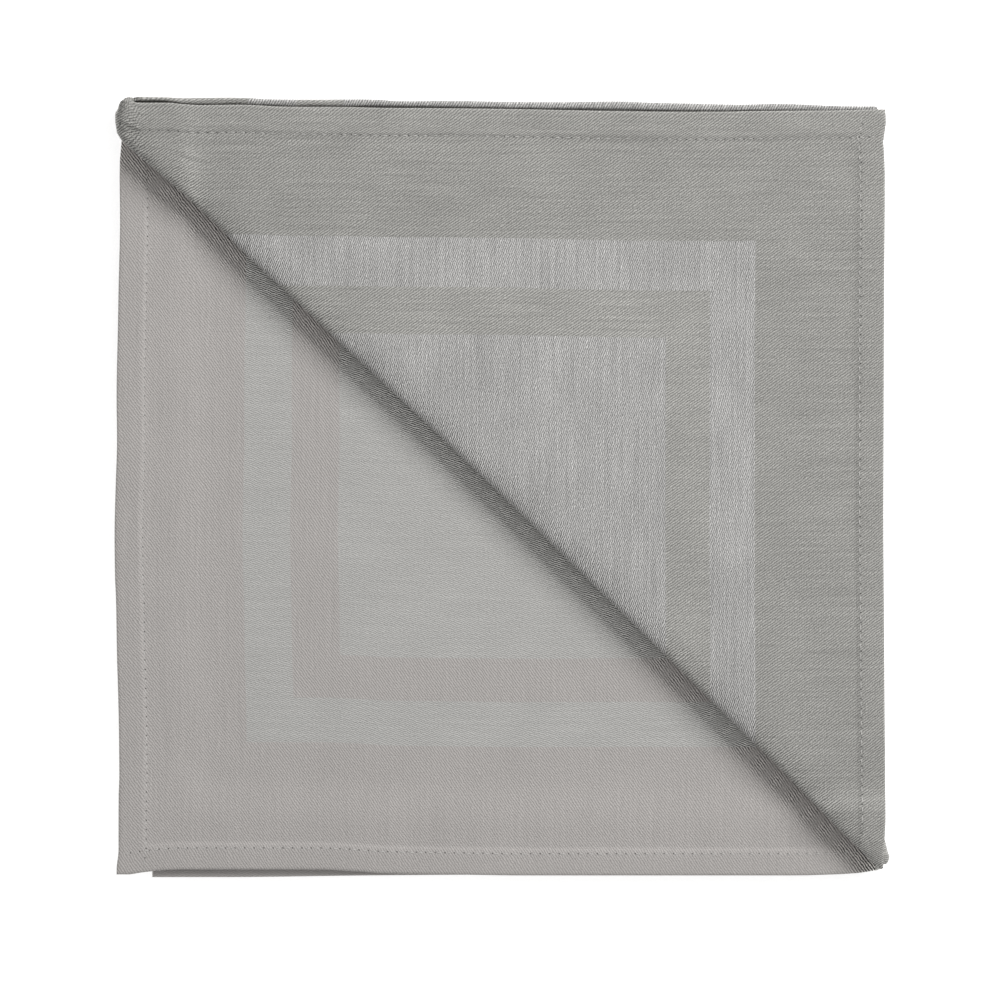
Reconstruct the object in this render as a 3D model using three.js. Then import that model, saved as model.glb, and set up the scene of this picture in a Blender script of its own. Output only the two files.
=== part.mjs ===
// A folded cloth napkin: one square of hemmed damask, folded in half and in half again,
// with the free corner of its top layer turned back across the diagonal.
// Millimetres, +Z up. The napkin lies flat; its two folded sides are at +X and +Y and
// its four loose corners are at -X -Y.

import * as THREE from 'three';
import { mergeVertices } from 'three/addons/utils/BufferGeometryUtils.js';

// Cloth

const CLOTH_THICKNESS = 1.0;
const HEM_THICKNESS = 1.6;
const HEM_WIDTH = 8.2;
const CLOTH_COLOUR = 0xdedbd5;

// Folded size: one quarter of the cloth, with the outline of its four sides

const QUARTER_WIDTH = 250.8;
const QUARTER_HEIGHT = 254;
const LEFT_SIDE = -125.7;
const RIGHT_SIDE = 123.4;
const BOTTOM_SIDE = -126.5;
const TOP_SIDE = 126.2;

// Layers lie a little apart, and further apart where all of them are hems

const LAYER_PITCH = 1.5;
const HEM_PITCH = 2.0;
const HEM_ZONE_START = 21;
const HEM_ZONE_END = 28;

// Each table bends one side out of its straight line.
// at: share of the side from its loose end. off: millimetres towards +X or +Y.

const SECOND_LAYER_LEFT = [
  { at: 0, off: -0.5 }, { at: 0.04, off: 0.25 }, { at: 0.12, off: 0.4 }, { at: 0.24, off: 0 },
  { at: 0.43, off: -1.05 }, { at: 0.62, off: -0.45 }, { at: 0.81, off: 0.5 }, { at: 0.95, off: 0.7 },
  { at: 1, off: 1.9 },
];
const SECOND_LAYER_BOTTOM = [
  { at: 0, off: 0 }, { at: 0.02, off: 0 }, { at: 0.055, off: 1.3 }, { at: 0.09, off: 1.6 },
  { at: 0.27, off: 1.6 }, { at: 0.37, off: 0.35 }, { at: 0.53, off: -0.3 }, { at: 0.89, off: -0.3 },
  { at: 0.95, off: 0.1 }, { at: 1, off: 1.7 },
];
const THIRD_LAYER_LEFT = [{ at: 0, off: 11.1 }, { at: 1, off: 1.9 }];
const THIRD_LAYER_BOTTOM = [
  { at: 0, off: -1.0 }, { at: 0.3, off: -0.4 }, { at: 0.6, off: 0.6 }, { at: 0.9, off: 1.8 },
  { at: 1, off: 3.2 },
];
const FOURTH_LAYER_LEFT = [{ at: 0, off: 12.3 }, { at: 1, off: 0.9 }];
const FOURTH_LAYER_BOTTOM = [{ at: 0, off: 1.2 }, { at: 0.5, off: 2.0 }, { at: 1, off: 3.2 }];
const FIRST_LAYER_LEFT = [{ at: 0, off: 0.9 }, { at: 1, off: 0.9 }];
const FIRST_LAYER_BOTTOM = [{ at: 0, off: -12.6 }, { at: 1, off: 1.9 }];
const UPPER_CREASE = [{ at: 0, off: 0.3 }, { at: 1, off: -0.5 }];
const LOWER_CREASE = [
  { at: 0, off: 3.1 }, { at: 0.018, off: 3.0 }, { at: 0.038, off: 2.2 }, { at: 0.12, off: 1.0 },
  { at: 1, off: -0.5 },
];
const TOP_FOLD = [
  { at: 0, off: 0.9 }, { at: 0.03, off: 1.4 }, { at: 0.13, off: 1.4 }, { at: 0.24, off: 0.7 },
  { at: 0.33, off: 0.8 }, { at: 0.37, off: 0.2 }, { at: 0.63, off: 0 }, { at: 0.81, off: -0.9 },
  { at: 0.87, off: -0.6 }, { at: 1, off: -1.5 },
];

// The turned-back corner: its two hems lie just inside the folded sides.
// at: share of the hem from the turned-back corner.

const FLAP_RIGHT = 124.9;
const FLAP_TOP = 123.3;
const FLAP_HEIGHT_AT_LEFT = 266.5;
const FLAP_HEIGHT_AT_RIGHT = 250.2;
const FLAP_RIGHT_HEM = [
  { at: 0, off: 0.1 }, { at: 0.02, off: 0.4 }, { at: 0.037, off: -0.7 }, { at: 0.065, off: -0.1 },
  { at: 0.1, off: 0.1 }, { at: 0.5, off: -0.4 }, { at: 0.9, off: 0 }, { at: 1, off: -0.7 },
];
const FLAP_TOP_HEM = [
  { at: 0, off: 0.3 }, { at: 0.1, off: -0.2 }, { at: 0.25, off: -0.5 }, { at: 0.42, off: 0 },
  { at: 0.6, off: 0.5 }, { at: 0.77, off: 0.9 }, { at: 0.84, off: 1.6 }, { at: 0.9, off: 1.4 },
  { at: 0.917, off: 2.1 }, { at: 0.929, off: 4.3 }, { at: 1, off: 4.3 },
];

// The rolled fold of the flap runs from near the top left corner to the bottom right one.
// Its table bends it towards the flap.

const ROLL_START = new THREE.Vector2(-121.8, 111.2);
const ROLL_END = new THREE.Vector2(123.6, -124.1);
const ROLL_BOW = [
  { at: 0, off: 0.2 }, { at: 0.08, off: 1.6 }, { at: 0.2, off: 1.7 }, { at: 0.42, off: 2.4 },
  { at: 0.54, off: 2.3 }, { at: 0.77, off: 1.3 }, { at: 0.96, off: -0.2 },
];
const ROLL_LIFT_LENGTH = 3.2;
const ROLL_MIDDLE_HEIGHT = 2.5;
const ROLL_CROWN_LENGTH = 4.5;
const ROLL_CROWN_HEIGHT = 5.0;
const ROLL_LENGTH = 105;
const FLAP_REST_HEIGHT = 1.75;
const FLAP_UNEVENNESS = 0.3;
const FLAP_END_GATHER = 2.8;

// The nose: where the roll passes the left side of the stack it curls down over it

const NOSE_START = -124.4;
const NOSE_WIDTH = 2.0;
const NOSE_DROP = 3.4;
const NOSE_DROP_LENGTH = 4.0;
const NOSE_CORNER = new THREE.Vector2(-120.5, 122.4);
const NOSE_CORNER_RADIUS = 5.3;
const NOSE_SOFT_SHARE = 0.35;

// Steps of the mesh

const HEM_SHARES = [0, 0.01, 0.021, 0.031, 0.036];
const FIELD_STEPS = 9;
const FOLD_STEPS = 5;
const FLAP_STEPS = 8;
const ROLL_STEPS = 22;
const DIAGONAL_STEPS = 30;
const SECTION_STEPS = 24;

const rollDirection = ROLL_END.clone().sub(ROLL_START).normalize();
const towardsFlap = new THREE.Vector2(-rollDirection.y, rollDirection.x);
const rollChord = ROLL_END.distanceTo(ROLL_START);

// Small helpers

function mix(a, b, share) {
  return a + (b - a) * share;
}

function smoothStep(low, high, value) {
  return THREE.MathUtils.smoothstep(value, low, high);
}

function offsetAt(table, share) {
  if (share <= table[0].at) {
    return table[0].off;
  }
  for (let i = 1; i < table.length; i += 1) {
    const before = table[i - 1];
    const after = table[i];
    if (share <= after.at) {
      return mix(before.off, after.off, smoothStep(before.at, after.at, share));
    }
  }
  return table[table.length - 1].off;
}

// Steps across a layer: the hem, then even steps to the fold

function layerSteps() {
  const steps = [...HEM_SHARES];
  for (let i = 1; i <= FIELD_STEPS; i += 1) {
    steps.push(mix(HEM_SHARES.at(-1), 1, i / FIELD_STEPS));
  }
  return steps;
}

function thicknessAt(across, up) {
  const innerHemLine = (HEM_SHARES.at(-2) + HEM_SHARES.at(-1)) / 2;
  return Math.min(across, up) < innerHemLine ? HEM_THICKNESS : CLOTH_THICKNESS;
}

// Stack of layers: how far apart they are at a place, and the height of each

function hemZone(x, y) {
  const fromEdge = Math.min(x - LEFT_SIDE, y - BOTTOM_SIDE);
  return 1 - smoothStep(HEM_ZONE_START, HEM_ZONE_END, fromEdge);
}

function pitchAt(x, y) {
  return mix(LAYER_PITCH, HEM_PITCH, hemZone(x, y));
}

// Height of the middle of the cloth. The underside of a hem is level with the cloth beside it.
function layerHeight(x, y, layersBelow, thickness) {
  return thickness / 2 + layersBelow * pitchAt(x, y);
}

// Layers of the quarter fold, from the top one down

const FIRST = { left: FIRST_LAYER_LEFT, bottom: FIRST_LAYER_BOTTOM, crease: UPPER_CREASE, below: 3 };
const SECOND = { left: SECOND_LAYER_LEFT, bottom: SECOND_LAYER_BOTTOM, crease: UPPER_CREASE, below: 2 };
const THIRD = { left: THIRD_LAYER_LEFT, bottom: THIRD_LAYER_BOTTOM, crease: LOWER_CREASE, below: 1 };
const FOURTH = { left: FOURTH_LAYER_LEFT, bottom: FOURTH_LAYER_BOTTOM, crease: LOWER_CREASE, below: 0 };

// Place on a layer, at a share of its width from the left hem and of its height from the bottom one.
// A layer stops short of the two folded sides by the reach of the folds.
function planPoint(layer, across, up) {
  const hem = 1 - smoothStep(HEM_ZONE_START, HEM_ZONE_END, up * QUARTER_HEIGHT);
  const creaseReach = mix(LAYER_PITCH + CLOTH_THICKNESS, HEM_PITCH + HEM_THICKNESS, hem) / 2;
  const left = LEFT_SIDE + offsetAt(layer.left, up);
  const right = RIGHT_SIDE + offsetAt(layer.crease, up) - creaseReach;
  const x = mix(left, right, across);
  const leftHem = 1 - smoothStep(HEM_ZONE_START, HEM_ZONE_END, x - LEFT_SIDE);
  const foldReach = mix(3 * LAYER_PITCH + CLOTH_THICKNESS, 3 * HEM_PITCH + HEM_THICKNESS, leftHem) / 2;
  const bottom = BOTTOM_SIDE + offsetAt(layer.bottom, across);
  const top = TOP_SIDE + offsetAt(TOP_FOLD, across) - foldReach;
  return new THREE.Vector2(x, mix(bottom, top, up));
}

function layerPoint(layer, across, up) {
  const plan = planPoint(layer, across, up);
  const z = layerHeight(plan.x, plan.y, layer.below, thicknessAt(across, up));
  return new THREE.Vector3(plan.x, plan.y, z);
}

// Blunt top left corner of the whole stack
function bluntCorner(point) {
  const dx = point.x - NOSE_CORNER.x;
  const dy = point.y - NOSE_CORNER.y;
  const reach = Math.hypot(dx, dy);
  const hard = NOSE_CORNER_RADIUS * (1 - NOSE_SOFT_SHARE);
  if (dx > 0 || dy < 0 || reach < hard) {
    return point;
  }
  const soft = NOSE_CORNER_RADIUS * NOSE_SOFT_SHARE;
  const kept = hard + soft * (1 - Math.exp(-(reach - hard) / soft));
  point.x = NOSE_CORNER.x + dx * kept / reach;
  point.y = NOSE_CORNER.y + dy * kept / reach;
  return point;
}

// Cross-section of the rolled fold, at right angles to it. The walked length is 0 at its
// outermost point, positive up over the crown and negative down to the layer below.

function rollSection() {
  const points = [];
  for (let i = 0; i <= SECTION_STEPS; i += 1) {
    const turn = (i / SECTION_STEPS) * Math.PI / 2;
    const out = ROLL_LIFT_LENGTH * (1 - Math.sin(turn));
    points.push({ out, up: ROLL_MIDDLE_HEIGHT * (1 - Math.cos(turn)) });
  }
  const outermost = points.length - 1;
  for (let i = 1; i <= SECTION_STEPS; i += 1) {
    const turn = (i / SECTION_STEPS) * Math.PI / 2;
    const rise = (ROLL_CROWN_HEIGHT - ROLL_MIDDLE_HEIGHT) * Math.sin(turn);
    points.push({ out: ROLL_CROWN_LENGTH * (1 - Math.cos(turn)), up: ROLL_MIDDLE_HEIGHT + rise });
  }
  for (let i = 1; i <= SECTION_STEPS; i += 1) {
    const share = i / SECTION_STEPS;
    const fall = mix(share, smoothStep(0, 1, share), 0.6);
    const up = mix(ROLL_CROWN_HEIGHT, FLAP_REST_HEIGHT, fall);
    points.push({ out: mix(ROLL_CROWN_LENGTH, ROLL_LENGTH, share), up });
  }
  let walked = 0;
  points.forEach((point, i) => {
    if (i > 0) {
      walked += Math.hypot(point.out - points[i - 1].out, point.up - points[i - 1].up);
    }
    point.walked = walked;
  });
  const origin = points[outermost].walked;
  points.forEach((point) => { point.walked -= origin; });
  return points;
}

const section = rollSection();
const liftOff = section[0];
const touchDown = section[section.length - 1];

function sectionAt(walked) {
  if (walked <= liftOff.walked) {
    return { out: liftOff.out + liftOff.walked - walked, up: 0 };
  }
  if (walked >= touchDown.walked) {
    return { out: touchDown.out + walked - touchDown.walked, up: FLAP_REST_HEIGHT };
  }
  const next = section.findIndex((point) => point.walked >= walked);
  const before = section[Math.max(next - 1, 0)];
  const after = section[Math.max(next, 1)];
  const share = (walked - before.walked) / (after.walked - before.walked);
  return { out: mix(before.out, after.out, share), up: mix(before.up, after.up, share) };
}

// A place on the top layer is given along the roll and by its walked length across it

function alongRoll(plan) {
  const fromStart = plan.clone().sub(ROLL_START);
  const along = fromStart.dot(rollDirection);
  const out = fromStart.dot(towardsFlap) - offsetAt(ROLL_BOW, along / rollChord);
  return { along, out };
}

function underFlap(across, up) {
  const place = alongRoll(planPoint(FIRST, across, up));
  return { along: place.along, walked: -(place.out + (-liftOff.walked - liftOff.out)) };
}

function onFlap(across, up) {
  const fromTop = across * QUARTER_WIDTH - FLAP_END_GATHER * smoothStep(0.95, 1, across);
  const fromRight = up * mix(FLAP_HEIGHT_AT_LEFT, FLAP_HEIGHT_AT_RIGHT, across);
  const x = FLAP_RIGHT + offsetAt(FLAP_RIGHT_HEM, across) - fromRight;
  const y = FLAP_TOP + offsetAt(FLAP_TOP_HEM, up) - fromTop;
  const place = alongRoll(new THREE.Vector2(x, y));
  return { along: place.along, walked: place.out + touchDown.walked - touchDown.out };
}

function rollPoint(place, thickness) {
  const cross = sectionAt(place.walked);
  const out = cross.out + offsetAt(ROLL_BOW, place.along / rollChord);
  const x = ROLL_START.x + rollDirection.x * place.along + towardsFlap.x * out;
  const y = ROLL_START.y + rollDirection.y * place.along + towardsFlap.y * out;
  const wave = 0.5 + 0.25 * Math.sin(x / 23 + y / 41) + 0.25 * Math.sin(x / 37 - y / 19);
  const lifted = smoothStep(0, FLAP_REST_HEIGHT, cross.up);
  const rest = layerHeight(x, y, FIRST.below, thickness);
  const z = rest + cross.up + FLAP_UNEVENNESS * wave * lifted;
  return curlNose(new THREE.Vector3(x, y, z));
}

function curlNose(point) {
  const beyond = NOSE_START - point.x;
  if (beyond > 0) {
    point.x = NOSE_START - NOSE_WIDTH * (1 - Math.exp(-beyond / NOSE_WIDTH));
    point.z -= NOSE_DROP * (1 - Math.exp(-beyond / NOSE_DROP_LENGTH));
  }
  return point;
}

// A column of the top layer runs from its loose corner to its folded one. The sum of the two
// shares grows from 0 to 2 on the way, and the column keeps its place between the hems.

function diagonalPlace(sum, column) {
  const low = Math.max(0, sum - 1);
  const high = Math.min(1, sum);
  const even = (high - low) / DIAGONAL_STEPS;
  const hemStep = (count) => Math.min(HEM_SHARES[count], count * even);
  const lastHemColumn = HEM_SHARES.length - 1;
  const fieldColumns = DIAGONAL_STEPS - 2 * lastHemColumn;
  const fromEnd = DIAGONAL_STEPS - column;
  const fieldShare = (column - lastHemColumn) / fieldColumns;
  let across = mix(low + hemStep(lastHemColumn), high - hemStep(lastHemColumn), fieldShare);
  if (column <= lastHemColumn) {
    across = low + hemStep(column);
  } else if (fromEnd <= lastHemColumn) {
    across = high - hemStep(fromEnd);
  }
  return { across, up: sum - across };
}

function solveSum(column, walkedAt, target, low, high) {
  let below = low;
  let above = high;
  for (let i = 0; i < 40; i += 1) {
    const middle = (below + above) / 2;
    const place = diagonalPlace(middle, column);
    if (walkedAt(place.across, place.up).walked > target) {
      below = middle;
    } else {
      above = middle;
    }
  }
  return (below + above) / 2;
}

function diagonalColumn(column) {
  const share = column / DIAGONAL_STEPS;
  const touchSum = solveSum(column, onFlap, touchDown.walked, 0.02, 1.2);
  const outerSum = solveSum(column, onFlap, 0, 0.2, 1.2);
  const solvedLift = solveSum(column, underFlap, liftOff.walked, 0.8, 1.4);
  const endTaper = smoothStep(0, 0.05, share) * (1 - smoothStep(0.93, 1, share));
  const liftSum = 1 + Math.max(0, solvedLift - 1) * endTaper;
  const nodes = [];
  const addNode = (clothPlace, rollPlace) => {
    const thickness = thicknessAt(clothPlace.across, clothPlace.up);
    nodes.push({ point: rollPoint(rollPlace, thickness), thickness });
  };
  for (let i = 0; i < FLAP_STEPS; i += 1) {
    const place = diagonalPlace(touchSum * i / FLAP_STEPS, column);
    addNode(place, onFlap(place.across, place.up));
  }
  for (let i = 0; i <= ROLL_STEPS; i += 1) {
    const place = diagonalPlace(mix(touchSum, outerSum, closerAtEnd(i / ROLL_STEPS)), column);
    addNode(place, onFlap(place.across, place.up));
  }
  const outerPlace = diagonalPlace(outerSum, column);
  const outer = onFlap(outerPlace.across, outerPlace.up);
  const liftPlace = diagonalPlace(liftSum, column);
  const lift = underFlap(liftPlace.across, liftPlace.up);
  for (let i = 1; i < FOLD_STEPS; i += 1) {
    const turn = i / FOLD_STEPS;
    const place = diagonalPlace(mix(outerSum, liftSum, turn), column);
    const along = mix(outer.along, lift.along, turn);
    addNode(place, { along, walked: mix(outer.walked, lift.walked, turn) });
  }
  layerSteps().forEach((step) => {
    const place = diagonalPlace(mix(liftSum, 2, step), column);
    addNode(place, underFlap(place.across, place.up));
  });
  return nodes;
}

// More steps near the outermost point of the roll, where it is bent most
function closerAtEnd(share) {
  return 1 - (1 - share) ** 2.6;
}

// The sheet, half way through its thickness, as points with a thickness and triangles

class Sheet {
  constructor() {
    this.positions = [];
    this.thicknesses = [];
  }

  corner(node) {
    const point = bluntCorner(node.point.clone());
    this.positions.push(point.x, point.y, point.z);
    this.thicknesses.push(node.thickness);
  }

  grid(columns) {
    for (let i = 1; i < columns.length; i += 1) {
      for (let j = 1; j < columns[i].length; j += 1) {
        const a = columns[i - 1][j - 1];
        const b = columns[i][j - 1];
        const c = columns[i][j];
        const d = columns[i - 1][j];
        [a, b, c, a, c, d].forEach((node) => this.corner(node));
      }
    }
  }

  geometry() {
    const geometry = new THREE.BufferGeometry();
    geometry.setAttribute('position', new THREE.Float32BufferAttribute(this.positions, 3));
    geometry.setAttribute('thickness', new THREE.Float32BufferAttribute(this.thicknesses, 1));
    return mergeVertices(geometry, 1e-3);
  }
}

// Top layer with its flap

function topLayer() {
  const columns = [];
  for (let column = 0; column <= DIAGONAL_STEPS; column += 1) {
    columns.push(diagonalColumn(column));
  }
  return columns;
}

function topLayerEdgePoint(across, up) {
  return rollPoint(underFlap(across, up), thicknessAt(across, up));
}

// The three other layers, as columns that run up from the bottom hem

function flatLayer(layer) {
  return layerSteps().map((across) => layerSteps().map((up) => ({
    point: layerPoint(layer, across, up),
    thickness: thicknessAt(across, up),
  })));
}

// Half turn of cloth between two facing points, bulging out along a direction
function halfTurn(start, end, bulge, thickness) {
  const middle = start.clone().add(end).multiplyScalar(0.5);
  const arm = start.clone().sub(middle);
  const nodes = [];
  for (let i = 0; i <= FOLD_STEPS; i += 1) {
    const turn = Math.PI * i / FOLD_STEPS;
    const point = middle.clone().addScaledVector(arm, Math.cos(turn)).addScaledVector(bulge, Math.sin(turn));
    nodes.push({ point, thickness });
  }
  return nodes;
}

function creaseBulge(point) {
  return new THREE.Vector3(pitchAt(point.x, point.y) / 2, 0, 0);
}

// Right creases: first to second layer above, third to fourth layer below

function upperCrease() {
  return layerSteps().map((up) => {
    const inner = layerPoint(SECOND, 1, up);
    return halfTurn(topLayerEdgePoint(1, up), inner, creaseBulge(inner), thicknessAt(1, up));
  });
}

function lowerCrease() {
  return layerSteps().map((up) => {
    const inner = layerPoint(THIRD, 1, up);
    return halfTurn(layerPoint(FOURTH, 1, up), inner, creaseBulge(inner), thicknessAt(1, up)).reverse();
  });
}

// Top fold: the first layer turns down to the fourth, round the second that turns to the third

function foldPoint(start, end, turn) {
  const radius = (start.z - end.z) / 2;
  const middle = start.clone().add(end).multiplyScalar(0.5);
  const arm = start.clone().sub(middle);
  return middle.addScaledVector(arm, Math.cos(turn)).add(new THREE.Vector3(0, radius * Math.sin(turn), 0));
}

function topFold(upper, lower) {
  return layerSteps().map((across) => {
    const start = upper(across);
    const end = lower(across);
    const nodes = [];
    const thickness = thicknessAt(across, 1);
    for (let i = 0; i <= 2 * FOLD_STEPS; i += 1) {
      nodes.push({ point: foldPoint(start, end, Math.PI * i / (2 * FOLD_STEPS)), thickness });
    }
    return nodes;
  });
}

function outerFold() {
  return topFold((across) => topLayerEdgePoint(across, 1), (across) => layerPoint(FOURTH, across, 1));
}

function innerFold() {
  return topFold((across) => layerPoint(SECOND, across, 1), (across) => layerPoint(THIRD, across, 1));
}

// Corner where the crease itself goes over the top fold
function foldedCrease() {
  const outer = outerFold().at(-1);
  const inner = innerFold().at(-1);
  return outer.map((node, i) => {
    const bulge = creaseBulge(layerPoint(SECOND, 1, 1));
    return halfTurn(node.point, inner[i].point, bulge, CLOTH_THICKNESS);
  });
}

function flipped(columns) {
  return [...columns].reverse();
}

function clothSheet() {
  const sheet = new Sheet();
  sheet.grid(topLayer());
  sheet.grid(flipped(flatLayer(SECOND)));
  sheet.grid(flatLayer(THIRD));
  sheet.grid(flipped(flatLayer(FOURTH)));
  sheet.grid(flipped(upperCrease()));
  sheet.grid(flipped(lowerCrease()));
  sheet.grid(outerFold());
  sheet.grid(flipped(innerFold()));
  sheet.grid(flipped(foldedCrease()));
  return sheet.geometry();
}

// Thicken the sheet: one skin each way along its normals, and a rim round its hems

function solidCloth() {
  const middle = clothSheet();
  middle.computeVertexNormals();
  const position = middle.getAttribute('position');
  const normal = middle.getAttribute('normal');
  const thickness = middle.getAttribute('thickness');
  const count = position.count;
  const corners = new Float32Array(count * 6);
  for (let i = 0; i < count; i += 1) {
    const point = new THREE.Vector3().fromBufferAttribute(position, i);
    const side = new THREE.Vector3().fromBufferAttribute(normal, i);
    const half = thickness.getX(i) / 2;
    point.clone().addScaledVector(side, half).toArray(corners, i * 3);
    point.clone().addScaledVector(side, -half).toArray(corners, (count + i) * 3);
  }
  const triangles = wholeTriangles(middle.index.array);
  const faces = [];
  triangles.forEach(([a, b, c]) => {
    faces.push(a, b, c, count + a, count + c, count + b);
  });
  openEdges(triangles).forEach(([a, b]) => {
    faces.push(b, a, count + b, a, count + a, count + b);
  });
  const solid = new THREE.BufferGeometry();
  solid.setAttribute('position', new THREE.BufferAttribute(corners, 3));
  solid.setIndex(faces);
  return solid;
}

// Triangles whose three corners are apart; the ones at the two tips of the top layer are not
function wholeTriangles(index) {
  const triangles = [];
  for (let i = 0; i < index.length; i += 3) {
    const [a, b, c] = index.slice(i, i + 3);
    if (a !== b && b !== c && c !== a) {
      triangles.push([a, b, c]);
    }
  }
  return triangles;
}

function openEdges(triangles) {
  const edges = new Map();
  triangles.forEach(([a, b, c]) => {
    [[a, b], [b, c], [c, a]].forEach(([from, to]) => {
      if (!edges.delete(`${to} ${from}`)) {
        edges.set(`${from} ${to}`, [from, to]);
      }
    });
  });
  return [...edges.values()];
}

// Object: the origin is at the middle of the footprint, on the table

function napkin() {
  const geometry = solidCloth();
  geometry.computeBoundingBox();
  const centre = geometry.boundingBox.getCenter(new THREE.Vector3());
  geometry.translate(-centre.x, -centre.y, -geometry.boundingBox.min.z);
  const material = new THREE.MeshStandardMaterial({ color: CLOTH_COLOUR, roughness: 0.85, metalness: 0 });
  const mesh = new THREE.Mesh(geometry, material);
  mesh.name = 'napkin';
  return mesh;
}

const foldedNapkin = new THREE.Group();
foldedNapkin.add(napkin());

export default foldedNapkin;
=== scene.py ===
# A folded cloth napkin: one square of hemmed white damask, folded in half and in half again,
# with the free corner of its top layer turned back across the diagonal.
# Shapes are worked out in millimetres in the frame of the CAD model and set in metres.

import math

import bpy
import numpy as np
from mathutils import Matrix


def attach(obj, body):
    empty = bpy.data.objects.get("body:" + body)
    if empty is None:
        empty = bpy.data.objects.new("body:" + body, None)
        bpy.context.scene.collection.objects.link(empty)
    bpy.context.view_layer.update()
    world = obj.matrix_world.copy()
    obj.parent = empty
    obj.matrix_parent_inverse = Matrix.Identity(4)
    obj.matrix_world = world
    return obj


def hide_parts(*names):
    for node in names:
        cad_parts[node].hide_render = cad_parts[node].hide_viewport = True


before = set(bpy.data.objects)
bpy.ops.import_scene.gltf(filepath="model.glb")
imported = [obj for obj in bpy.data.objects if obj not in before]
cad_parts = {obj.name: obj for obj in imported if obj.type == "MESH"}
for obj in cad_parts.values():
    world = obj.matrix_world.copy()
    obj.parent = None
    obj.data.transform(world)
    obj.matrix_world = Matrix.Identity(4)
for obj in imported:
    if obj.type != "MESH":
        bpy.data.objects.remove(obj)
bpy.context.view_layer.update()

MM = 0.001

# Cloth

CLOTH_THICKNESS = 0.8
HEM_THICKNESS = 1.1
HEM_WIDTH = 8.9
HEM_STEP = 1.3
NARROWER_HEM = 1.5
HEM_FOLD_BEFORE_STEP = 0.5
EDGE_ROUNDING = 0.6
EDGE_LEAST_THICKNESS = 0.02

# Folded size, the same as in the CAD model

QUARTER_WIDTH = 250.8
QUARTER_HEIGHT = 254.0
FULL_WARP = 500.0
FULL_WEFT = 507.0
SECOND_HALF_WIDTH = 248.6
SECOND_LAYER_HEIGHT = 253.7
LEFT_SIDE = -125.7
RIGHT_SIDE = 123.4
BOTTOM_SIDE = -126.5
TOP_SIDE = 126.2
BEAD_RADIUS = 0.25
LOWER_LAYERS_TOP = 3.4

# From the drawing's origin to the middle of the CAD model's footprint

CENTRE_SHIFT = (0.347, -0.050)

# Layers lie a little apart, and further apart where all of them are hems

CAD_THICKNESS = 1.0
CAD_HEM_THICKNESS = 1.6
CAD_HEM_END = (7.9, 9.2)
MEAN_SIDE = 252.0
LAYER_PITCH = 1.5
HEM_PITCH = 2.0
HEM_ZONE_START = 21.0
HEM_ZONE_END = 28.0

# Places where the sides bend were read off enlarged strips of the photo, in its pixels.
# A table has their share of the side from its loose end, then millimetres towards +X or +Y.

MM_PER_PIXEL = 0.327
PHOTO_ORIGIN = (502.5, 487.5)
LAYER_WIDTH_SEEN = 247.85
LAYER_HEIGHT_SEEN = 249.45


def photo_place(x, y):
    return (x - PHOTO_ORIGIN[0]) * MM_PER_PIXEL, (PHOTO_ORIGIN[1] - y) * MM_PER_PIXEL


def upright_side(readings, line, start, length, ends):
    return side_table([photo_place(*reading)[::-1] for reading in readings], line, start, length, ends)


def level_side(readings, line, start, length, ends):
    return side_table([photo_place(*reading) for reading in readings], line, start, length, ends)


def side_table(places, line, start, length, ends):
    """Rows to a thousandth of the side and a hundredth of a millimetre, with ends given."""
    rows = [(round((along - start) / length, 3), round(off - line, 2)) for along, off in places]
    return tuple(sorted(rows + list(ends)))



SECOND_LAYER_LEFT = upright_side((
    (116.5, 874), (116.5, 870), (118.5, 850), (118.5, 800), (119.3, 780), (119, 740), (118, 690),
    (117, 660), (116, 600), (115, 580), (114.5, 535), (115.5, 490), (117, 440), (116.5, 400),
    (118, 320), (118.5, 290), (120, 220), (119.5, 170), (120.7, 150),
), LEFT_SIDE, BOTTOM_SIDE, LAYER_HEIGHT_SEEN, ((0.985, 1.90), (1, 1.90)))
SECOND_LAYER_BOTTOM = level_side((
    (130, 874.5), (140, 873), (150, 871.7), (160, 870.5), (180, 869.5), (320, 869.5), (340, 870.3),
    (360, 871.5), (380, 873), (420, 874), (480, 875), (520, 875.5), (800, 875.5), (820, 875),
    (840, 874.3), (860, 873),
), BOTTOM_SIDE, LEFT_SIDE, LAYER_WIDTH_SEEN, ((0, -0.05), (1, 1.30)))
THIRD_LAYER_LEFT = ((0, 11.1), (1, 1.9))
THIRD_LAYER_BOTTOM = ((0, -1.0), (0.1, -1.0), (0.3, -0.45), (0.5, -0.1), (0.7, 0.6), (0.9, 1.8), (1, 3.2))
FOURTH_LAYER_LEFT = ((0, 12.3), (1, 0.9))
FOURTH_LAYER_BOTTOM = ((0, 1.2), (0.5, 2.0), (1, 3.2))
FIRST_LAYER_LEFT = ((0, 0.9), (1, 0.9))
FIRST_LAYER_BOTTOM = ((0, -12.6), (1, 1.9))
UPPER_CREASE = ((0, 0.3), (1, -0.5))
LOWER_CREASE = (
    (0, 2.4), (0.005, 3.4), (0.010, 3.6), (0.018, 2.9), (0.038, 2.0), (0.078, 1.3), (0.12, 0.9), (1, -0.5),
)
TOP_FOLD = level_side((
    (140, 97.3), (160, 97.3), (180, 98), (220, 97.3), (240, 97.3), (260, 98.8), (300, 99.3), (370, 99),
    (400, 101), (440, 100.5), (500, 101.3), (560, 101.8), (620, 101), (650, 102.3), (700, 103.3),
    (740, 104.3), (780, 103.3), (820, 105), (850, 106), (876, 106),
), TOP_SIDE, LEFT_SIDE, LAYER_WIDTH_SEEN, ((0, 0.90),))

# The outer fold stands up as a bead beyond the flap's hem, with a narrow slot between them.
# Its tables go by share across: slot width and bead height in millimetres.

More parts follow.
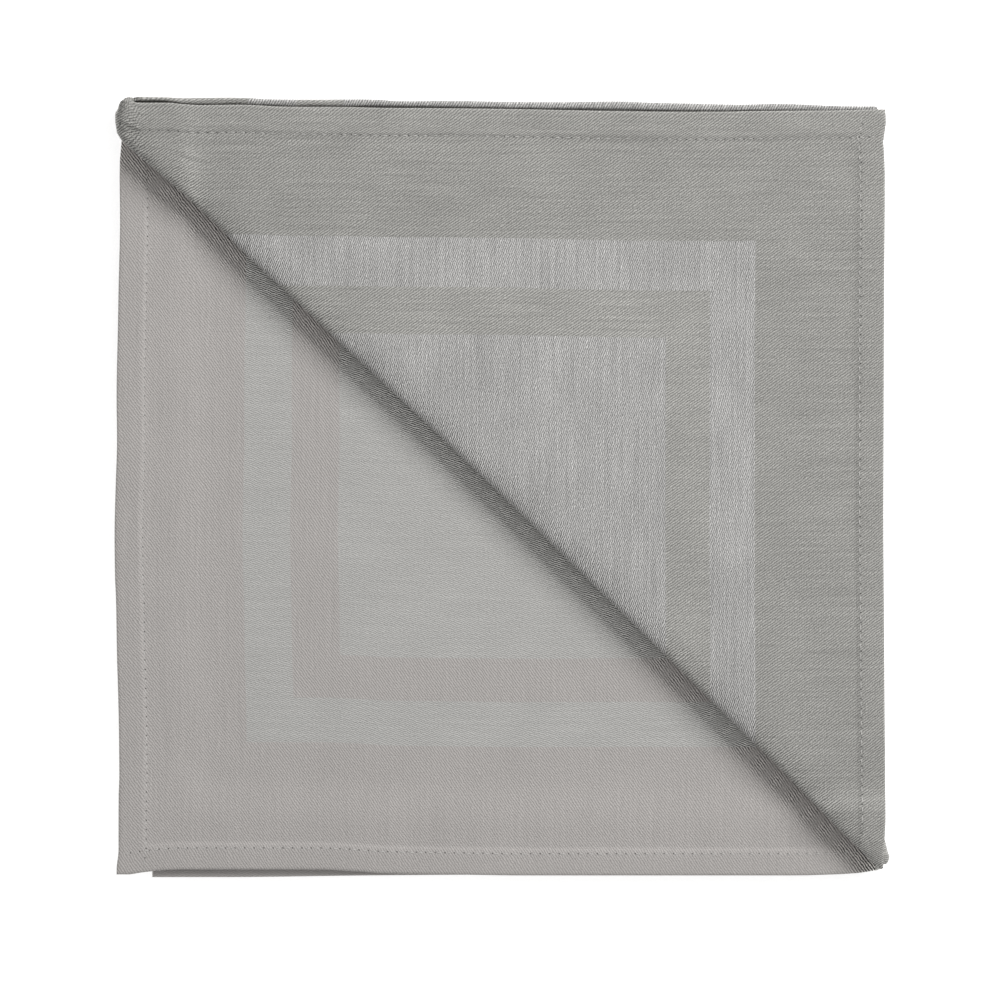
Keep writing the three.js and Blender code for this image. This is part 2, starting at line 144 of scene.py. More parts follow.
FOLD_SLOT = (
    (0.00, 0.80), (0.05, 0.80), (0.08, 0.05), (0.11, 0.30), (0.135, 0.05), (0.155, 0.40), (0.175, 0.05),
    (0.20, 0.30), (0.23, 0.05), (0.25, 0.35), (0.29, 0.10), (0.34, 0.55), (0.40, 0.50), (0.45, 0.25),
    (0.55, 0.20), (0.62, 0.50), (0.68, 0.45), (0.75, 0.25), (0.85, 0.10), (1.00, 0.00),
)
FOLD_BEAD = (
    (0.0, 3.0), (0.05, 2.6), (0.1, 1.4), (0.25, 1.3), (0.4, 1.3), (0.6, 1.3), (0.75, 1.2), (0.9, 0.7),
    (1.0, 0.1),
)
FOLD_FOOT_GAP = 0.1

# Steps round the fold: share of the way to the slot, share from the slot to the outline,
# share of the bead's height, share of the way down to the lowest layer

FOLD_SECTION = (
    (0.0, 0.00, 0.00, 0.00), (1.0, 0.00, 0.10, 0.00), (1.0, 0.16, 0.80, 0.00), (1.0, 0.42, 0.98, 0.00),
    (1.0, 0.72, 1.00, 0.00), (1.0, 0.94, 0.80, 0.05), (1.0, 1.00, 0.25, 0.30), (1.0, 0.96, 0.00, 0.66),
    (1.0, 0.62, 0.00, 0.95), (0.0, 0.00, 0.00, 1.00),
)

# The turned-back corner

FLAP_RIGHT = 124.9
FLAP_TOP = 123.3
FLAP_HEIGHT_AT_LEFT = 266.5
FLAP_HEIGHT_AT_RIGHT = 250.2
FLAP_RIGHT_HEM = upright_side((
    (884.8, 112), (885.8, 118), (885.8, 128), (884.8, 133), (882.3, 138), (883, 142), (884.3, 160),
    (884.8, 180), (884, 300), (883.5, 440), (883.2, 530), (883.8, 640), (884, 700), (884.8, 820),
    (883.5, 845),
), FLAP_RIGHT, FLAP_TOP, -QUARTER_WIDTH, ((1, -0.70),))
FLAP_TOP_HEM = level_side((
    (882, 109.5), (870, 110), (840, 110.7), (800, 111), (760, 111.3), (720, 112), (680, 112), (620, 111.5),
    (560, 110.3), (520, 109.5), (480, 109), (440, 108.7), (385, 108.5), (340, 107.5), (290, 107.5),
    (240, 105.5), (200, 106), (180, 105), (170, 103.8),
), FLAP_TOP, FLAP_RIGHT, -FLAP_HEIGHT_AT_LEFT, ((0.917, 2.17), (0.929, 4.30), (1, 4.30)))

# The rolled fold

ROLL_START = np.array((-121.8, 111.2))
ROLL_END = np.array((123.6, -124.1))
ROLL_BOW = (
    (0.00, 0.2), (0.04, 1.0), (0.08, 1.6), (0.12, 1.6), (0.155, 1.3), (0.2, 1.65), (0.27, 1.8),
    (0.35, 2.1), (0.42, 2.4), (0.54, 2.3), (0.60, 2.0), (0.69, 1.75), (0.77, 1.3), (0.85, 0.95),
    (0.92, 0.2), (0.96, -0.15), (1.0, -0.17),
)
ROLL_LIFT_LENGTH = 3.2
ROLL_MIDDLE_HEIGHT = 2.7
ROLL_CROWN_LENGTH = 8.0
ROLL_CROWN_HEIGHT = 5.2
ROLL_CROWN_FLATNESS = 0.45
ROLL_LENGTH = 105.0
ROLL_FALL_SMOOTHNESS = 0.6
ROLL_SMALL_END = 0.7
ROLL_SMALL_FROM = 0.90
ROLL_SMALL_RISE = 0.9
END_GATHER = 2.8
END_GATHER_FROM = 0.95

# How high the flap lies, and how much higher on its waves. Their lengths go along x and y

FLAP_REST_HEIGHT = 1.75
FLAP_UNEVENNESS = 0.3
FLAP_WAVES = ((23, 41), (37, -19))

# The yarns stand out more beside the roll and on it, with painted light and shade in the roll's shadow:
# zones where this fades away, in millimetres

ROLL_FOOT_ZONE = (3.5, 9.0)
ON_ROLL_ZONE = (1.0, 10.0)
ON_ROLL_SHARE = 0.1

# What counts as the turned-back corner, which takes a darker tone of painted shade: its heights in
# millimetres, how far up its faces look, and its shares of the quarter. Then the share that marks the
# outer fold, which takes that tone too, and how deep that goes

FLAP_HEIGHTS = (2.0, 14.0)
FLAP_FACES_UP = 0.2
FLAP_SHARES = 1.05
FLAP_WARP_END = 1.01
FLAP_WEFT_END = 1.06
FOLD_SHARE = 0.999
FOLD_DEPTH = 5.0

# The nose

NOSE_START = -124.4
NOSE_WIDTH = 1.6
NOSE_DROP = 3.4
NOSE_DROP_LENGTH = 4.0
NOSE_CORNER = (-120.5, 122.4)
NOSE_CORNER_RADIUS = 5.3
NOSE_SOFT_SHARE = 0.35

# Steps of the mesh

EDGE_STEPS = (0.0, 0.06, 0.2, 0.45, 0.9, 2.4, 4.2, 6.0, 7.5, 8.0, 8.5, 9.0, 9.6)
FIELD_STEPS = 44
FOLD_STEPS = 8
WIDE_FOLD_STEPS = 32
ROLL_SECTION_STEPS = 40
FLAP_STEPS = 24
ROLL_STEPS = 60
DIAGONAL_FIELD_STEPS = 92
FLAP_STEP_GROWTH = 1.25
ROLL_STEP_CLOSENESS = 2.8
MERGE_STEPS_PER_MM = 1000

# Where on the top layer the roll is looked for: sums of its two shares

SEARCH_ROUNDS = 40
TOUCH_RANGE = (0.02, 1.2)
OUTER_RANGE = (0.2, 1.2)
LIFT_RANGE = (0.8, 1.4)
LIFT_TAPER_START = 0.05
LIFT_TAPER_END = 0.93

# Stitches

STITCH_PITCH = 3.13
STITCH_LENGTH = 1.9
THREAD_RADIUS = 0.12
STITCH_LINE = 9.0
STITCH_LINE_NARROWER = 7.1
STITCH_LINE_TURNED = 7.7

# Along one stitch: how far the thread stands off the cloth in millimetres, and its share of the full
# width. Then the sides of the thread, and how far each line runs, as a share of the quarter

STITCH_HEIGHTS = (-0.16, -0.02, 0.03, -0.02, -0.16)
STITCH_WIDTHS = (0.35, 0.95, 1.0, 0.95, 0.35)
THREAD_SIDES = 6
LEFT_LINE_SHARE = 0.96
BOTTOM_LINE_SHARE = 0.98
TURNED_SIDE_LINE_SHARE = 0.86
TURNED_TOP_LINE_SHARE = 0.93
STITCH_SKIN_SHARE = 0.25
SLOPE_STEP = 0.001

# Woven border: distance of its lines from the finished edges, along the warp and along the weft

BORDER_LINES_WARP_LEFT = (42.3, 58.4, 74.0)
BORDER_LINES_WARP_RIGHT = (41.8, 57.3, 73.0)
BORDER_LINES_WEFT = (42.2, 57.0, 71.3)
BORDER_LINE_SOFTNESS = 0.2

# Millimetres from one yarn of the warp, and of the weft, to the next, and the yarns in a gap of the reed

END_PITCH = 0.264
PICK_PITCH = 0.376
REED_YARNS = 3.0
REED_FLATNESS = 0.4

# Satin: yarns in its repeat, how many of them its next crossing is moved by, how flat a yarn is,
# and the height of its dips, as a share of the height where it floats

SATIN_REPEAT = 5.0
SATIN_MOVE = 2.0
YARN_FLATNESS = 0.6
DIP_HEIGHT = 0.35

# Share of the twill lines in the weave, more of it beside the roll, for painted light and shade in its
# shadow

TWILL_SHARE = 0.5
TWILL_BY_ROLL = 0.4

# How far yarns wander out of line, in yarns, widely and from place to place

DRIFT = 3.0
DRIFT_SCALE = 0.06
WOBBLE = 2.2
WOBBLE_SCALE = 0.6
WOBBLE_FINENESS = 0.7
PICK_DRIFT_SHARE = -0.7

# Changes for each millimetre: of a streak along its yarn and across it, of the clouds and of the grain

STREAK_ALONG = 0.03
WARP_STREAK_ACROSS = 1.6
WEFT_STREAK_ACROSS = 1.2
STREAK_FINENESS = 0.6
CLOUD_SCALE = 0.05
GRAIN_SCALE = 1.4
GRAIN_FINENESS = 0.7

# Needle holes: their soft edge in millimetres from the middle, how far from a corner they start, and
# the painted shade in them

HOLE_EDGE = (0.11, 0.33)
HOLES_START = (3.0, 4.0)
HOLE_PAINTED_SHADE = 0.45

roll_direction = (ROLL_END - ROLL_START) / np.linalg.norm(ROLL_END - ROLL_START)
towards_flap = np.array((-roll_direction[1], roll_direction[0]))
roll_chord = np.linalg.norm(ROLL_END - ROLL_START)


# Small helpers


def mix(a, b, share):
    return a + (b - a) * share


def smooth_step(low, high, value):
    share = np.clip((value - low) / (high - low), 0, 1)
    return share * share * (3 - 2 * share)


def offset_at(table, share):
    """A smooth curve through the rows of a table that doesn't overshoot them."""
    at, off = np.array(table, float).T
    share = np.clip(share, at[0], at[-1])
    slope = np.diff(off) / np.diff(at)
    tangent = np.zeros(len(at))
    same_way = slope[1:] * slope[:-1] > 0
    harmonic = 2 * slope[1:] * slope[:-1] / np.where(same_way, slope[1:] + slope[:-1], 1)
    tangent[1:-1] = np.where(same_way, harmonic, 0)
    row = np.clip(np.searchsorted(at, share) - 1, 0, len(at) - 2)
    width = at[row + 1] - at[row]
    t = (share - at[row]) / width
    start = (1 + 2 * t) * (1 - t) ** 2 * off[row] + t * t * (3 - 2 * t) * off[row + 1]
    bend = t * (1 - t) ** 2 * tangent[row] - t * t * (1 - t) * tangent[row + 1]
    return start + width * bend


def stacked(x, y, z):
    return np.stack(np.broadcast_arrays(x, y, z), axis=-1)


# Stack of layers


def hem_zone(distance):
    return 1 - smooth_step(HEM_ZONE_START, HEM_ZONE_END, distance)


def pitch_at(x, y):
    return mix(LAYER_PITCH, HEM_PITCH, hem_zone(np.minimum(x - LEFT_SIDE, y - BOTTOM_SIDE)))


def cloth_thickness(across, up):
    """Thick over the hem, then a step down at its inner fold."""
    inside = np.minimum(across * QUARTER_WIDTH, up * QUARTER_HEIGHT + NARROWER_HEM)
    thin = smooth_step(HEM_WIDTH - HEM_FOLD_BEFORE_STEP, HEM_WIDTH + HEM_STEP, inside)
    return mix(HEM_THICKNESS, CLOTH_THICKNESS, thin)


def edge_rounding(across, up):
    """Share of the thickness that is left towards a hem's edge."""
    inside = np.minimum(across * QUARTER_WIDTH, up * QUARTER_HEIGHT)
    near = np.clip(1 - inside / (HEM_THICKNESS * EDGE_ROUNDING), 0, 1)
    return np.sqrt(np.clip(1 - near * near, EDGE_LEAST_THICKNESS, 1))


def layer_height(x, y, below, across, up):
    past_hem = smooth_step(*CAD_HEM_END, np.minimum(across, up) * MEAN_SIDE)
    return mix(CAD_HEM_THICKNESS, CAD_THICKNESS, past_hem) / 2 + below * pitch_at(x, y)


FIRST = {"left": FIRST_LAYER_LEFT, "bottom": FIRST_LAYER_BOTTOM, "crease": UPPER_CREASE, "below": 3}
SECOND = {"left": SECOND_LAYER_LEFT, "bottom": SECOND_LAYER_BOTTOM, "crease": UPPER_CREASE, "below": 2}
THIRD = {"left": THIRD_LAYER_LEFT, "bottom": THIRD_LAYER_BOTTOM, "crease": LOWER_CREASE, "below": 1}
FOURTH = {"left": FOURTH_LAYER_LEFT, "bottom": FOURTH_LAYER_BOTTOM, "crease": LOWER_CREASE, "below": 0}


def plan_point(layer, across, up):
    hem = hem_zone(up * QUARTER_HEIGHT)
    crease_reach = mix(LAYER_PITCH + CAD_THICKNESS, HEM_PITCH + CAD_HEM_THICKNESS, hem) / 2
    left = LEFT_SIDE + offset_at(layer["left"], up)
    right = RIGHT_SIDE + offset_at(layer["crease"], up) - crease_reach
    x = mix(left, right, across)
    left_hem = hem_zone(x - LEFT_SIDE)
    fold_reach = mix(3 * LAYER_PITCH + CAD_THICKNESS, 3 * HEM_PITCH + CAD_HEM_THICKNESS, left_hem) / 2
    bottom = BOTTOM_SIDE + offset_at(layer["bottom"], across)
    top = TOP_SIDE + offset_at(TOP_FOLD, across) - fold_reach
    return x, mix(bottom, top, up)


def layer_point(layer, across, up):
    x, y = plan_point(layer, across, up)
    return stacked(x, y, layer_height(x, y, layer["below"], across, up))


def blunt_corner(points):
    """Blunt top left corner of the whole stack."""
    dx = points[..., 0] - NOSE_CORNER[0]
    dy = points[..., 1] - NOSE_CORNER[1]
    reach = np.hypot(dx, dy) + 1e-9
    hard = NOSE_CORNER_RADIUS * (1 - NOSE_SOFT_SHARE)
    soft = NOSE_CORNER_RADIUS * NOSE_SOFT_SHARE
    kept = hard + soft * (1 - np.exp(-np.maximum(reach - hard, 0) / soft))
    share = np.where((dx < 0) & (dy > 0) & (reach > hard), kept / reach, 1)
    out = points.copy()
    out[..., 0] = NOSE_CORNER[0] + dx * share
    out[..., 1] = NOSE_CORNER[1] + dy * share
    return out


# Cross-section of the rolled fold


def roll_section():
    even = np.linspace(0, 1, ROLL_SECTION_STEPS + 1)
    turn = np.linspace(0, math.pi / 2, ROLL_SECTION_STEPS + 1)
    lift_out = ROLL_LIFT_LENGTH * (1 - np.sin(turn))
    lift_up = ROLL_MIDDLE_HEIGHT * (1 - np.cos(turn))
    crown_turn = math.pi / 2 * even[1:] ** 2
    crown_out = ROLL_CROWN_LENGTH * (1 - np.cos(crown_turn))
    crown_rise = ROLL_CROWN_HEIGHT - ROLL_MIDDLE_HEIGHT
    crown_up = ROLL_MIDDLE_HEIGHT + crown_rise * np.sin(crown_turn) ** ROLL_CROWN_FLATNESS
    fall = even[1:]
    fall_out = mix(ROLL_CROWN_LENGTH, ROLL_LENGTH, fall)
    smooth_fall = mix(fall, smooth_step(0, 1, fall), ROLL_FALL_SMOOTHNESS)
    fall_up = mix(ROLL_CROWN_HEIGHT, FLAP_REST_HEIGHT, smooth_fall)
    out = np.concatenate((lift_out, crown_out, fall_out))
    up = np.concatenate((lift_up, crown_up, fall_up))
    walked = np.concatenate(((0,), np.cumsum(np.hypot(np.diff(out), np.diff(up)))))
    return walked - walked[ROLL_SECTION_STEPS], out, up


section_walked, section_out, section_up = roll_section()
LIFT_WALKED = section_walked[0]
LIFT_OUT = section_out[0]
TOUCH_WALKED = section_walked[-1]
TOUCH_OUT = section_out[-1]


def section_at(walked):
    out = np.interp(walked, section_walked, section_out)
    out = out + np.maximum(LIFT_WALKED - walked, 0) + np.maximum(walked - TOUCH_WALKED, 0)
    return out, np.interp(walked, section_walked, section_up)


def along_roll(x, y):
    dx = x - ROLL_START[0]
    dy = y - ROLL_START[1]
    along = dx * roll_direction[0] + dy * roll_direction[1]
    out = dx * towards_flap[0] + dy * towards_flap[1]
    return along, out - offset_at(ROLL_BOW, along / roll_chord)


def roll_scale(along):
    """The roll is smaller where the cloth is creased at the lower right corner."""
    return mix(1, ROLL_SMALL_END, smooth_step(ROLL_SMALL_FROM, 1, along / roll_chord))


def under_flap(across, up):
    along, out = along_roll(*plan_point(FIRST, across, up))
    return along, LIFT_WALKED + LIFT_OUT - out / roll_scale(along)


def on_flap(across, up):
    from_top = across * QUARTER_WIDTH - END_GATHER * smooth_step(END_GATHER_FROM, 1, across)
    from_right = up * mix(FLAP_HEIGHT_AT_LEFT, FLAP_HEIGHT_AT_RIGHT, across)
    x = FLAP_RIGHT + offset_at(FLAP_RIGHT_HEM, across) - from_right
    y = FLAP_TOP + offset_at(FLAP_TOP_HEM, up) - from_top
    along, out = along_roll(x, y)
    return along, out / roll_scale(along) + TOUCH_WALKED - TOUCH_OUT


def before_nose(along, walked):
    """Plan place and rise on the roll, before its end curls down over the left side."""
    out, rise = section_at(walked)
    scale = roll_scale(along)
    rise = mix(rise, rise * scale, ROLL_SMALL_RISE)
    out = out * scale + offset_at(ROLL_BOW, along / roll_chord)
    x = ROLL_START[0] + roll_direction[0] * along + towards_flap[0] * out
    y = ROLL_START[1] + roll_direction[1] * along + towards_flap[1] * out
    return x, y, rise


def nose_squeeze(x):
    """Length that the cloth beyond the nose is gathered by."""
    beyond = np.maximum(NOSE_START - x, 0)
    return beyond - NOSE_WIDTH * (1 - np.exp(-beyond / NOSE_WIDTH))


def roll_point(along, walked, across, up):
    x, y, rise = before_nose(along, walked)
    wave = 0.5
    for x_length, y_length in FLAP_WAVES:
        wave = wave + np.sin(x / x_length + y / y_length) / 4
    lifted = smooth_step(0, FLAP_REST_HEIGHT, rise)
    z = layer_height(x, y, 3, across, up) + rise + FLAP_UNEVENNESS * wave * lifted
    beyond = np.maximum(NOSE_START - x, 0)
    x = x + nose_squeeze(x)
    z = z - NOSE_DROP * (1 - np.exp(-beyond / NOSE_DROP_LENGTH))
    return stacked(x, y, z)


def top_layer_point(across, up):
    """Where the top layer lies flat on the one below."""
    return roll_point(*under_flap(across, up), across, up)


# Steps of the mesh


def layer_steps(size):
    edge = np.array(EDGE_STEPS) / size
    return np.concatenate((edge, np.linspace(edge[-1], 1, FIELD_STEPS + 1)[1:]))


ACROSS_STEPS = layer_steps(QUARTER_WIDTH)
UP_STEPS = layer_steps(QUARTER_WIDTH)
COLUMNS = 2 * (len(EDGE_STEPS) - 1) + DIAGONAL_FIELD_STEPS


def diagonal_place(total, column):
    """Shares of the top layer at a sum of both and a column. Columns keep their place at the hems."""
    low = np.maximum(0, total - 1)
    high = np.minimum(1, total)
    edge_count = len(EDGE_STEPS) - 1
    even = (high - low) / COLUMNS
    edge = np.array(EDGE_STEPS) / QUARTER_WIDTH
    near_low = np.minimum(edge[np.minimum(column, edge_count)], column * even)
    from_end = COLUMNS - column
    near_high = np.minimum(edge[np.minimum(from_end, edge_count)], from_end * even)
    last_low = np.minimum(edge[-1], edge_count * even)
    share = np.clip((column - edge_count) / DIAGONAL_FIELD_STEPS, 0, 1)
    field = mix(low + last_low, high - last_low, share)
    across = np.where(column <= edge_count, low + near_low, field)
    across = np.where(from_end <= edge_count, high - near_high, across)
    return across, total - across


def solve_total(column, place_on_roll, target, low, high):
    below = np.full(column.shape, low)
    above = np.full(column.shape, high)
    for _ in range(SEARCH_ROUNDS):
        middle = (below + above) / 2
        beyond = place_on_roll(*diagonal_place(middle, column))[1] > target
        below = np.where(beyond, middle, below)
        above = np.where(beyond, above, middle)
    return (below + above) / 2


def top_layer():
    """Columns from the loose corner to the folded one: points and shares of the top layer."""
    column = np.arange(COLUMNS + 1)
    share = column / COLUMNS
    touch = solve_total(column, on_flap, TOUCH_WALKED, *TOUCH_RANGE)
    outer = solve_total(column, on_flap, 0.0, *OUTER_RANGE)
    lift = solve_total(column, under_flap, LIFT_WALKED, *LIFT_RANGE)
    taper = smooth_step(0, LIFT_TAPER_START, share) * (1 - smooth_step(LIFT_TAPER_END, 1, share))
    lift = 1 + np.maximum(0, lift - 1) * taper
    rows = []
    for i in range(FLAP_STEPS):
        rows.append(flap_row(touch * (i / FLAP_STEPS) ** FLAP_STEP_GROWTH, column))
    for i in range(ROLL_STEPS + 1):
        onward = 1 - (1 - i / ROLL_STEPS) ** ROLL_STEP_CLOSENESS
        rows.append(flap_row(mix(touch, outer, onward), column))
    outer_place = on_flap(*diagonal_place(outer, column))
    lift_place = under_flap(*diagonal_place(lift, column))
    for i in range(1, FOLD_STEPS):
        turn = i / FOLD_STEPS
        across, up = diagonal_place(mix(outer, lift, turn), column)
        along = mix(outer_place[0], lift_place[0], turn)
        walked = mix(outer_place[1], lift_place[1], turn)
        rows.append(roll_row((along, walked), across, up))
    for step in UP_STEPS:
        across, up = diagonal_place(mix(lift, 2, step), column)
        rows.append(roll_row(under_flap(across, up), across, up))
    return [np.stack([row[part] for row in rows], axis=1) for part in range(4)]


def flap_row(total, column):
    across, up = diagonal_place(total, column)
    return roll_row(on_flap(across, up), across, up)


def roll_row(place, across, up):
    """Points, shares of the layer, and the length gathered at the nose."""
    gathered = nose_squeeze(before_nose(*place)[0])
    return roll_point(*place, across, up), across, up, gathered


def flat_layer(layer):
    across, up = np.meshgrid(ACROSS_STEPS, UP_STEPS, indexing="ij")
    return layer_point(layer, across, up), across, up


def half_turn(start, end, bulge, steps):
    """Cloth that turns from start to end, bulging by a vector."""
    turn = np.linspace(0, math.pi, steps + 1)[:, None]
    middle = (start + end) / 2
    arm = start - middle
    rounds = [middle + arm * math.cos(t) + bulge * math.sin(t) for t in turn[:, 0]]
    return np.stack(rounds, axis=-2)


def crease(outer_points, inner_points, up):
    bulge = np.zeros_like(inner_points)
    bulge[..., 0] = pitch_at(inner_points[..., 0], inner_points[..., 1]) / 2
    points = half_turn(outer_points, inner_points, bulge, FOLD_STEPS)
    ones = np.ones(points.shape[:-1])
    return points, ones, ones * up[:, None]


def inner_fold(start, end, across):
    bulge = np.zeros_like(start)
    bulge[..., 1] = (start[..., 2] - end[..., 2]) / 2
    points = half_turn(start, end, bulge, WIDE_FOLD_STEPS)
    ones = np.ones(points.shape[:-1])
    return points, ones * across[:, None], ones


def outer_fold(start, end, across):
    """From the top layer up over the bead, down round the outline and in to the lowest layer."""
    from_right = FLAP_RIGHT - start[..., 0]
    hem = FLAP_TOP + offset_at(FLAP_TOP_HEM, from_right / FLAP_HEIGHT_AT_LEFT)
    outline = TOP_SIDE + offset_at(TOP_FOLD, across) - CLOTH_THICKNESS / 2
    slot_end = hem + offset_at(FOLD_SLOT, across) + BEAD_RADIUS
    foot = np.maximum(slot_end, start[..., 1] + FOLD_FOOT_GAP)
    bead = offset_at(FOLD_BEAD, across)
    section = np.array(FOLD_SECTION)
    at = np.arange(len(section))
    rounds = []
    for step in np.linspace(0, len(section) - 1, WIDE_FOLD_STEPS + 1):
        to_slot, to_outline, lifted, down = [
            offset_at(np.stack((at, section[:, part]), axis=1), step) for part in range(4)
        ]
        point = mix(start, end, down)
        point[..., 1] = mix(point[..., 1], foot, to_slot) + (outline - foot) * to_outline
        point[..., 2] += bead * lifted
        rounds.append(point)
    points = np.stack(rounds, axis=-2)
    ones = np.ones(points.shape[:-1])
    return points, ones * across[:, None], ones


# The sheet half way through its thickness


class Sheet:
    """Grids of points that share their edges. Each carries its place on the flat cloth."""

    def __init__(self):
        self.points = []
        self.shares = []
        self.flat = []
        self.faces = []
        self.count = 0

    def grid(self, patch, flat, turned_over):
        points, across, up = patch
        rows, columns = across.shape
        index = self.count + np.arange(rows * columns).reshape(rows, columns)
        quads = [index[:-1, :-1], index[1:, :-1], index[1:, 1:], index[:-1, 1:]]
        if turned_over:
            quads.reverse()
        a, b, c, d = [corner.ravel() for corner in quads]
        self.faces.append(np.stack((a, b, c), axis=1))
        self.faces.append(np.stack((a, c, d), axis=1))
        self.points.append(points.reshape(-1, 3))
        self.shares.append(np.stack((across, up), axis=-1).reshape(-1, 2))
        self.flat.append(np.stack(np.broadcast_arrays(*flat), axis=-1).reshape(-1, 2))
        self.count += rows * columns

    def merged(self):
        points = blunt_corner(np.concatenate(self.points))
        shares = np.concatenate(self.shares)
        flat = np.concatenate(self.flat)
        faces = np.concatenate(self.faces)
        keys = np.round(points * MERGE_STEPS_PER_MM).astype(np.int64)
        _, first, inverse = np.unique(keys, axis=0, return_index=True, return_inverse=True)
        faces = inverse.ravel()[faces]
        whole = (faces[:, 0] != faces[:, 1]) & (faces[:, 1] != faces[:, 2]) & (faces[:, 2] != faces[:, 0])
        return points[first], shares[first], flat[first], faces[whole]


def flat_place(layer, across, up):
    """Place on the flat cloth in millimetres: along the warp, then along the weft."""
    first_height = mix(FLAP_HEIGHT_AT_LEFT, FLAP_HEIGHT_AT_RIGHT, across)
    second_height = mix(SECOND_LAYER_HEIGHT, FLAP_HEIGHT_AT_RIGHT, across)
    if layer is FIRST:
        return across * QUARTER_WIDTH, up * first_height
    if layer is SECOND:
        return FULL_WARP - across * SECOND_HALF_WIDTH, up * second_height
    if layer is THIRD:
        return FULL_WARP - across * SECOND_HALF_WIDTH, FULL_WEFT - up * (FULL_WEFT - second_height)
    return across * QUARTER_WIDTH, FULL_WEFT - up * (FULL_WEFT - first_height)


def walked_share(points):
    """Share of the length walked along each row of points."""
    steps = np.linalg.norm(np.diff(points, axis=-2), axis=-1)
    walked = np.concatenate((np.zeros_like(steps[..., :1]), np.cumsum(steps, axis=-1)), axis=-1)
    return walked / walked[..., -1:], walked[..., -1:]


def fold_place(patch, upper):
    """The weft goes on evenly round a fold at the top side."""
    share, length = walked_share(patch[0])
    warp, weft = flat_place(upper, patch[1], patch[2])
    return warp, weft + (share - 0.5) * length


def crease_place(patch, layer):
    """The warp goes on evenly round a crease at the right side."""
    share, length = walked_share(patch[0])
    warp, weft = flat_place(layer, patch[1], patch[2])
    return warp + (share - 0.5) * length, weft


def cloth_sheet():
    sheet = Sheet()
    ups = UP_STEPS
    acrosses = ACROSS_STEPS
    ones = np.ones_like(ups)
    points, across, up, gathered = top_layer()
    warp, weft = flat_place(FIRST, across, up)
    sheet.grid((points, across, up), (warp, weft - gathered), True)
    for layer, turned in ((SECOND, False), (THIRD, True), (FOURTH, False)):
        patch = flat_layer(layer)
        sheet.grid(patch, flat_place(layer, patch[1], patch[2]), turned)
    upper = crease(top_layer_point(ones, ups), layer_point(SECOND, ones, ups), ups)
    sheet.grid(upper, crease_place(upper, FIRST), False)
    lower = crease(layer_point(FOURTH, ones, ups), layer_point(THIRD, ones, ups), ups)
    sheet.grid(lower, crease_place(lower, FOURTH), True)
    outer = outer_fold(top_layer_point(acrosses, ones), layer_point(FOURTH, acrosses, ones), acrosses)
    sheet.grid(outer, fold_place(outer, FIRST), True)
    inner = inner_fold(layer_point(SECOND, acrosses, ones), layer_point(THIRD, acrosses, ones), acrosses)
    sheet.grid(inner, fold_place(inner, SECOND), False)
    start = outer[0][-1]
    end = inner[0][-1]
    bulge = np.zeros_like(start)
    bulge[:, 0] = LAYER_PITCH / 2
    corner = half_turn(start, end, bulge, FOLD_STEPS)
    corner_ones = np.ones(corner.shape[:-1])
    folded_corner = (corner, corner_ones, corner_ones)
    sheet.grid(folded_corner, crease_place(folded_corner, FIRST), False)
    return sheet.merged()


def point_normals(points, faces):
    """Normals weighted by face area."""
    a, b, c = points[faces[:, 0]], points[faces[:, 1]], points[faces[:, 2]]
    face_normals = np.cross(b - a, c - a)
    normals = np.zeros_like(points)
    for corner in range(3):
        np.add.at(normals, faces[:, corner], face_normals)
    return normals / (np.linalg.norm(normals, axis=1, keepdims=True) + 1e-12)


def open_edges(faces):
    """Edges with one face only, in that face's direction."""
    edges = np.concatenate((faces[:, (0, 1)], faces[:, (1, 2)], faces[:, (2, 0)]))
    known = set(map(tuple, edges.tolist()))
    return np.array([edge for edge in known if (edge[1], edge[0]) not in known])


def add_object(name, vertices, faces):
    mesh = bpy.data.meshes.new(name)
    mesh.from_pydata(vertices.tolist(), [], faces)
    mesh.polygons.foreach_set("use_smooth", np.ones(len(mesh.polygons), bool))
    mesh.update()
    piece = bpy.data.objects.new(name, mesh)
    bpy.context.scene.collection.objects.link(piece)
    return piece


def to_frame(points):
    """From the drawing's millimetres to the frame's metres."""
    shift = np.array((CENTRE_SHIFT[0], CENTRE_SHIFT[1], 0))
    return (points + shift) * MM


def make_cloth():
    points, shares, flat, faces = cloth_sheet()
    normals = point_normals(points, faces)
    half = cloth_thickness(shares[:, 0], shares[:, 1]) * edge_rounding(shares[:, 0], shares[:, 1]) / 2
    front = points + normals * half[:, None]
    back = points - normals * half[:, None]
    count = len(points)
    all_faces = np.concatenate((faces, faces[:, ::-1] + count, rim_faces(faces, count)))
    piece = add_object("napkin_cloth", to_frame(np.concatenate((front, back))), all_faces.tolist())
    add_flat_places(piece, np.concatenate((flat, flat)))
    add_values(piece, "right_side", np.ones(count), np.zeros(count))
    # Parts that take a darker tone of painted shade
    turned = turned_back_painted_shade(points, normals, shares, flat)
    add_values(piece, "turned_back_painted_shade", turned, turned)
    # Where the yarns take painted light and shade beside the roll, in its shadow
    beside = np.where(points[:, 2] > LOWER_LAYERS_TOP, painted_light_by_roll(points), 0)
    add_values(piece, "painted_light_by_roll", beside, beside)
    return piece


def rim_faces(faces, count):
    """Faces round the hems, from the front skin to the back one."""
    edges = open_edges(faces)
    return np.concatenate((
        np.stack((edges[:, 1], edges[:, 0], edges[:, 1] + count), axis=1),
        np.stack((edges[:, 0], edges[:, 0] + count, edges[:, 1] + count), axis=1),
    ))


